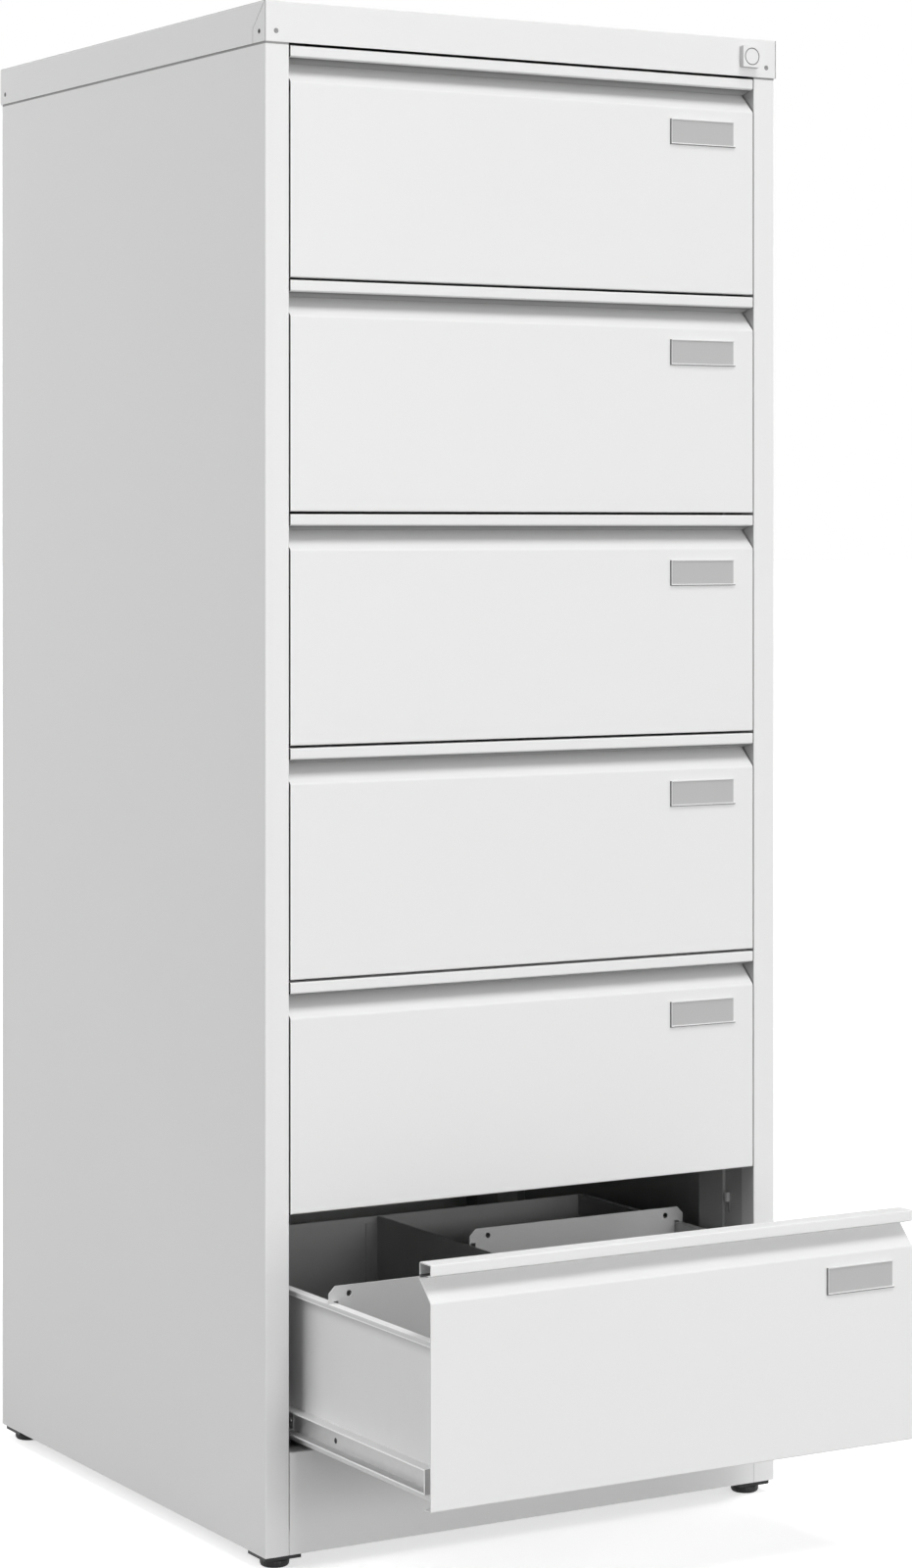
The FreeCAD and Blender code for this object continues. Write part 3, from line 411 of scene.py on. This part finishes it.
def zincPlate(name, tone, rimHighlightTone=None):
    finish = Finish(name)
    grey = finish.node("ShaderNodeRGBToBW", {}, {"Color": finish.spangle(zinc["crystals"])})
    streaks = finish.grain(*zinc["streaks"])
    mask = (grey + streaks) * 0.5
    colour = finish.mottled(mask, tone, zinc["tones"])
    # painted highlight on a drawer rail's rims
    if rimHighlightTone:
        web = finish.below(zinc["webTop"])
        web = web - web * finish.beyond("X", zinc["webEdge"])
        colour = finish.blend(web, rimHighlightTone, colour)
    roughness = finish.between(mask, zinc["rough"])
    bump = finish.bump(streaks, *zinc["bump"])
    return finish.surface(Base_Color=colour, Metallic=zinc["metal"], Roughness=roughness, Normal=bump)


# Card stock: short fibres
stock = {"fibres": (1500, 4, (1, 1, 3)), "tones": (0.97, 1.03), "bump": (0.00002, 0.4), "rough": (0.6, 0.7)}


def cardStock(name, tone):
    finish = Finish(name)
    fibres = finish.grain(*stock["fibres"])
    colour = finish.mottled(fibres, tone, stock["tones"])
    bump = finish.bump(fibres, *stock["bump"])
    return finish.surface(Base_Color=colour, Roughness=finish.between(fibres, stock["rough"]), Normal=bump)


# Bare steel with fine brush marks
steel = {"marks": (1200, 2, (1, 0.1, 1)), "tones": (0.9, 1.05), "rough": (0.28, 0.43)}


def brushedSteel(name, tone):
    finish = Finish(name)
    marks = finish.grain(*steel["marks"])
    colour = finish.mottled(marks, tone, steel["tones"])
    return finish.surface(Base_Color=colour, Metallic=1.0, Roughness=finish.between(marks, steel["rough"]))


white = 0.83  # tone of the cabinet's paint
paints = {
    "white": powderPaint("powder_white", white),
    # Cover: painted shade round its rivet holes and along the seam of its front rim
    "cover": coverPaint("powder_cover", white, frontDimple=0.12, sideDimpleShade=0.048, seamShadeTone=0.03),
    # Side panels: inner faces painted a darker grey as shade, and a painted shadow line where they run under the
    # cover's rim
    "panel": powderPaint(
        "powder_panel",
        white,
        inside={"x": sidePanel["right"] - 0.5, "y": sidePanel["back"] - 0.5, "tone": 0.5},
        joint={"axis": "Z", "past": shutFront["top"] + 0.2, "tone": 0.3},
    ),
    # Tray: painted shade inside, on the hem's face and under the hem; painted highlight on the hem's top and foot
    "tray": trayPaint("powder_tray", white, insideShadeTone=0.48, hemHighlightTone=0.95, hemFaceShadeTone=0.7, creaseShadeTone=0.55),
    "stop": powderPaint("powder_stop", 0.72),
    # Near-black painted shade for the rail seen only in the gap under the cover's rim
    "gap": powderPaint("powder_gap_painted_shade", 0.06),
    # Front uprights painted a dark grey as shade, for the uprights seen in the shaded opening
    "frame": powderPaint("powder_frame_painted_shade", 0.34, rough=(0.45, 0.55)),
    # Shut fronts: painted shade in the grip and on the lip's underside, and near-black painted shade on the end
    # edges in the gaps
    "shut_front": powderPaint(
        "powder_front",
        white,
        creaseShade={"face": shutFront["front"], "tone": 0.42},
        joint={"axis": "X", "past": shutFront["right"] - 0.05, "tone": 0.02},
    ),
    # The open front gets a much lighter painted shade in its grip, as more light reaches it
    "open_front": powderPaint("powder_front_open", white, creaseShade={"face": openFront["front"], "tone": 0.8}),
    # Lock: painted shade on the housing's sides and in the ring round the plug
    "lock": lockPaint("powder_lock", 0.82, sideShadeTone=0.58, ringShadeTone=0.12),
    "zinc": zincPlate("zinc_rails", 0.6),
    # Drawer rails: zinc with a painted highlight on their rims
    "drawer_zinc": zincPlate("zinc_drawer_rails", 0.61, rimHighlightTone=0.85),
    # Label holders: painted shade on the left and lower rims, painted highlight on the ledge
    "holder": holderPaint("holder_grey", 0.7, rimShadeTone=0.18, ledgeHighlightTone=0.9),
    "black": mouldedPlastic("foot_black", (0.012, 0.012, 0.013), rough=(0.39, 0.51), shine=0.3),
    "card": cardStock("card_grey", 0.48),
    "steel": brushedSteel("rivet_steel", 0.6),
    # The cover's rivets: dark steel as painted shade in their hollows, nearly black on the sides
    "front_rivet": brushedSteel("rivet_front", 0.22),
    "side_rivet": brushedSteel("rivet_side_painted_shade", 0.03),
}
print("finishes made:", len(paints))

# The finish of each CAD node: the first pattern that fits its name counts, and a node that fits none is white
nodeFinishes = {
    "*_middle_rails": "zinc",
    "*_rails": "drawer_zinc",
    "cabinet_runners": "zinc",
    "rear_uprights": "zinc",
    "lock_bar": "zinc",
    "*_label_holder": "holder",
    "foot_*": "black",
    "corner_blocks": "black",
    "lock_*": "lock",
    "*_side_panel": "panel",
    "*_tray": "tray",
    "front_uprights": "frame",
    "top_cover": "cover",
    "top_front_rail": "gap",
    "*card_stop*": "stop",
    f"{openDrawer}_front": "open_front",
    "drawer_?_front": "shut_front",
}
for node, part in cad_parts.items():
    finish = next((finish for pattern, finish in nodeFinishes.items() if fnmatch(node, pattern)), "white")
    part.data.materials.clear()
    part.data.materials.append(paints[finish])
print("CAD nodes painted")


# A skin over a grid of points. Each row of the grid joins the next and the last row joins the first, so it is
# closed round its first direction; a column whose points fall together closes that end.
def skin(name, points, finish, body, smooth=True):
    rows, columns = points.shape[:2]
    row, column = np.meshgrid(np.arange(rows), np.arange(columns - 1), indexing="ij")
    following = (row + 1) % rows
    quads = np.stack([
        row * columns + column,
        following * columns + column,
        following * columns + column + 1,
        row * columns + column + 1,
    ], axis=-1).reshape(-1, 4)
    mesh = bpy.data.meshes.new(name)
    mesh.from_pydata(points.reshape(-1, 3), [], quads)
    welded = bmesh.new()
    welded.from_mesh(mesh)
    bmesh.ops.remove_doubles(welded, verts=welded.verts, dist=1e-7)
    bmesh.ops.recalc_face_normals(welded, faces=welded.faces)
    welded.to_mesh(mesh)
    welded.free()
    mesh.polygons.foreach_set("use_smooth", [smooth] * len(mesh.polygons))
    mesh.materials.append(paints[finish])
    piece = bpy.data.objects.new(name, mesh)
    bpy.context.scene.collection.objects.link(piece)
    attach(piece, body)
    return piece


# A turned shape, in millimetres. A profile point (distance out, distance along) goes round the axis through the
# centre: centre + out * (cos of the angle * across + sin of the angle * up) + rise * along, all unit vectors.
# Ripple adds to the distance out at each angle and rise.
def turned(profile, centre, along, steps, ripple=None):
    radius, rise = np.array(profile, float).T / 1000
    along = np.array(along, float)
    aside = [0.0, 0.0, 1.0] if abs(along[2]) < 0.9 else [1.0, 0.0, 0.0]  # any direction well off the axis
    across = np.cross(along, aside)
    up = np.cross(along, across)
    angle = np.linspace(0, 2 * np.pi, steps, endpoint=False)[:, None]
    reach = np.broadcast_to(radius, (steps, len(radius)))
    if ripple is not None:
        reach = reach + ripple(angle, rise) * (radius > 0)
    ring = np.cos(angle)[..., None] * across + np.sin(angle)[..., None] * up
    return np.array(centre, float) / 1000 + reach[..., None] * ring + rise[:, None] * along


# Dished rivets in the cover's holes: a rim just below the sheet and a hollow in the middle
coverRivets = {
    "profile": [
        (0, -0.85), (0.5, -0.8), (0.95, -0.5), (1.25, -0.22), (1.4, -0.2), (1.45, -0.4), (1.45, -0.98), (0, -0.98),
    ],
    "steps": 24,
}
for side, sideName in sides:
    # each rivet takes its own steel, darkened as painted shade, darker on the sides
    for spot, (x, y, z), outwards in (("front", frontHole, (0, -1, 0)), ("side", sideHole, (side, 0, 0))):
        rivet = turned(coverRivets["profile"], (side * x, y, z), outwards, coverRivets["steps"])
        skin(f"rivet_{spot}_{sideName}", rivet, f"{spot}_rivet", "cabinet")

# Levelling feet, in millimetres: a pad with a rounded lower edge and a ribbed rim, on a threaded stud
foot = {
    "flat": 6,
    "radius": 12.3,
    "rounding": 2.6,
    "shoulder": [(12.3, 4.5), (12.3, 5.6), (11.7, 6.6), (10.6, 6.95), (5.2, 6.95), (3.75, 6.9)],
    "ribs": 24,
    "ribDepth": 0.18,
    "ribSpan": (2.4, 6.2),
    "stud": 3.75,
    "studFoot": 7.2,
    "studTop": 29.8,
    "studTip": 3.2,
    "thread": 1.25,
    "threadDepth": 0.22,
    "threadFrom": 7.1,
    "steps": 96,
}


# The outline, from the middle of the pad's underside out and up: a quarter round, the rim and its shoulder, then
# the stud in six steps to a turn of its thread
def footProfile():
    bend = np.linspace(0, np.pi / 2, 7)
    inset = foot["radius"] - foot["rounding"]
    edge = [(inset + foot["rounding"] * math.sin(a), foot["rounding"] * (1 - math.cos(a))) for a in bend]
    stud = [(foot["stud"], z) for z in np.arange(foot["studFoot"], foot["studTop"], foot["thread"] / 6)]
    tip = [(foot["studTip"], foot["studTop"]), (0, foot["studTop"])]
    return [(0, 0), (foot["flat"], 0)] + edge + foot["shoulder"] + stud + tip


# The rim's ribs are a wave round the pad; the stud's thread is a wave that climbs one pitch a turn
def footRipple(angle, rise):
    height = rise * 1000
    low, high = foot["ribSpan"]
    ribs = ((height > low) & (height < high)) * np.cos(foot["ribs"] * angle) * foot["ribDepth"]
    climb = 2 * np.pi * height / foot["thread"] - angle
    thread = (height > foot["threadFrom"]) * np.cos(climb) * foot["threadDepth"]
    return (ribs + thread) / 1000


for corner in ("foot_front_left", "foot_front_right", "foot_rear_left", "foot_rear_right"):
    studBox = faces(corner)
    centre = ((studBox["left"] + studBox["right"]) / 2, (studBox["front"] + studBox["back"]) / 2, 0)
    shape = turned(footProfile(), centre, (0, 0, 1), foot["steps"], footRipple)
    pad = skin(f"{corner}_turned", shape, "black", corner)
    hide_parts(corner)
print("rivets and feet made")


# Cards in the label holders, in millimetres. The front of a sheet bows out by bow * (1 - u²) * (1 - fade * v²),
# with u and v from -1 to 1 across and up; a ring folded flat closes its foot and its head.
labelCard = {
    "left": 1.5,
    "right": 1.6,
    "foot": 1.5,
    "head": 0.8,
    "holderPlate": 0.5,
    "play": 0.01,
    "thick": 0.16,
    "bow": 0.12,
    "fade": 0.3,
    "columns": 25,
    "rows": 9,
}
u, v = np.meshgrid(
    np.linspace(-1, 1, labelCard["columns"]), np.linspace(-1, 1, labelCard["rows"]), indexing="ij"
)
bulge = labelCard["bow"] * (1 - u ** 2) * (1 - labelCard["fade"] * v ** 2)
for drawer in drawerNames:
    holder = faces(f"{drawer}_label_holder")
    plate = holder["back"] - labelCard["holderPlate"]
    left, right = holder["left"] + labelCard["left"], holder["right"] - labelCard["right"]
    across = np.linspace(left, right, labelCard["columns"])
    upward = np.linspace(holder["foot"] + labelCard["foot"], holder["top"] - labelCard["head"], labelCard["rows"])
    x, z = np.meshgrid(across, upward, indexing="ij")
    face = plate - labelCard["thick"] - bulge
    back = np.full_like(face, plate - labelCard["play"])
    loop = np.concatenate([np.stack([x, face, z], -1), np.stack([x, back, z], -1)[::-1]], axis=0) / 1000
    foldedFoot, foldedHead = [
        np.concatenate([end[:labelCard["columns"]], end[:labelCard["columns"]][::-1]], axis=0)
        for end in (loop[:, :1], loop[:, -1:])
    ]
    points = np.concatenate([foldedFoot, loop, foldedHead], axis=1)
    skin(f"{drawer}_card", points, "card", drawer, smooth=False)
print("label cards made")

# Runner fittings: a black disc with a raised rim for the hole in each drawer rail, and a rivet head at the front
# of each middle rail. Places run back from a front's face or a middle rail's end, rises up from a drawer's foot,
# and insets in from the rails' outer faces to their webs.
runnerFittings = {
    "holeProfile": [(0, 0.01), (1.9, 0.01), (1.95, 0.05), (2.3, 0.06), (2.4, 0.0), (2.4, -0.2), (0, -0.2)],
    "headProfile": [(0, 1.3), (0.9, 1.25), (1.8, 1.0), (2.4, 0.45), (2.5, 0.0), (2.5, -0.2), (0, -0.2)],
    "steps": 16,
    "webInset": 8.8,
    "middleWebInset": 6.7,
    "holePlace": 178,
    "holeRise": 17.5,
    "headPlace": 5,
    "headRise": 19,
}
for drawer in drawerNames:
    rails, middle, front = [faces(f"{drawer}_{part}") for part in ("rails", "middle_rails", "front")]
    web, middleWeb = rails["right"] - runnerFittings["webInset"], middle["right"] - runnerFittings["middleWebInset"]
    holeY, holeZ = front["front"] + runnerFittings["holePlace"], front["foot"] + runnerFittings["holeRise"]
    headY, headZ = middle["front"] + runnerFittings["headPlace"], front["foot"] + runnerFittings["headRise"]
    for side, sideName in sides:
        outwards = (side, 0, 0)
        centre = (side * web, holeY, holeZ)
        hole = turned(runnerFittings["holeProfile"], centre, outwards, runnerFittings["steps"])
        skin(f"{drawer}_rail_hole_{sideName}", hole, "black", drawer)
        centre = (side * middleWeb, headY, headZ)
        head = turned(runnerFittings["headProfile"], centre, outwards, runnerFittings["steps"])
        skin(f"{drawer}_rail_rivet_{sideName}", head, "steel", f"{drawer}_middle")
print("runner fittings made")


# The floor, in metres. The camera sees a paler tone than the light on its way does. The lamps fade far away, so
# the floor's own glow grows with the distance from the middle there.
ground = {
    "reach": 80,
    "hiddenTone": 0.3,
    "seenTone": 0.9,
    "rough": 0.9,
    "glow": (0.62, 1),
    "glowFrom": 3,
    "glowTo": 9,
}
reach = ground["reach"]
floorMesh = bpy.data.meshes.new("floor")
floorCorners = [(-reach, -reach, 0), (reach, -reach, 0), (reach, reach, 0), (-reach, reach, 0)]
floorMesh.from_pydata(floorCorners, [], [(0, 1, 2, 3)])
floor = bpy.data.objects.new("floor", floorMesh)
bpy.context.scene.collection.objects.link(floor)
pale = Finish("floor_pale")
seen = pale.seen()
distance = pale.node("ShaderNodeVectorMath", {"operation": "LENGTH"}, {0: pale.place}, out="Value")
glow = pale.blend(pale.ramp(distance, ground["glowFrom"], ground["glowTo"]), *ground["glow"])
pale.surface(
    Base_Color=pale.blend(seen, ground["hiddenTone"], ground["seenTone"]),
    Roughness=ground["rough"],
    Emission_Color=pale.blend(seen, 0, glow),
    Emission_Strength=1.0,
)
floorMesh.materials.append(pale.material)

# Lamps: place, watts and side length; all look at the middle of the cabinet
lighting = {
    "sky": 0.02,
    "aim": (0, -0.2, 0.65),
    "lamps": {
        "key": ((1.2, -7.0, 14.0), 1060, 6.0),
        "front_soft": ((2.4, -10.5, 4.6), 290, 6.0),
        "front_low": ((0.5, -11.5, 0.4), 740, 5.5),
        "left_fill": ((-6.6, 0.9, 4.0), 355, 8.5),
        "right_fill": ((9.0, 0.8, 2.4), 300, 4.0),
        "back_fill": ((0.4, 9.5, 2.4), 300, 4.0),
    },
}
for name, (spot, watts, side) in lighting["lamps"].items():
    lamp = bpy.data.lights.new(name, "AREA")
    lamp.shape = "SQUARE"
    lamp.size = side
    lamp.energy = watts
    stand = bpy.data.objects.new(name, lamp)
    stand.location = spot
    stand.rotation_euler = (Vector(lighting["aim"]) - Vector(spot)).to_track_quat("-Z", "Y").to_euler()
    bpy.context.scene.collection.objects.link(stand)

# The world is white where the camera sees it and only a faint sky for the light on its way
world = bpy.data.worlds.new("studio")
bpy.context.scene.world = world
sky = Finish("studio", world)
soft, plain = [
    sky.node("ShaderNodeBackground", {}, {"Color": (1, 1, 1, 1), "Strength": strength})
    for strength in (lighting["sky"], 1)
]
choice = sky.node("ShaderNodeMixShader", {}, {0: sky.seen(), 1: soft, 2: plain})
sky.node("ShaderNodeOutputWorld", {}, {"Surface": choice})

# The photograph's view: level, turned 30.4 degrees to the right, with the frame shifted down
view = {
    "place": (-1.6864, -3.0225, 0.866),
    "turn": 30.38,
    "lens": 85.7,
    "sensor": 36,
    "drop": -0.1625,
    "farthest": 400,
}
camera = bpy.data.cameras.new("camera")
camera.sensor_width = view["sensor"]
camera.lens = view["lens"]
camera.shift_y = view["drop"]
camera.clip_end = view["farthest"]
cameraStand = bpy.data.objects.new("camera", camera)
cameraStand.location = view["place"]
cameraStand.rotation_euler = (math.pi / 2, 0, -math.radians(view["turn"]))
bpy.context.scene.collection.objects.link(cameraStand)
bpy.context.scene.camera = cameraStand
bpy.context.scene.view_settings.view_transform = "Standard"
print("stage, lamps and camera set")
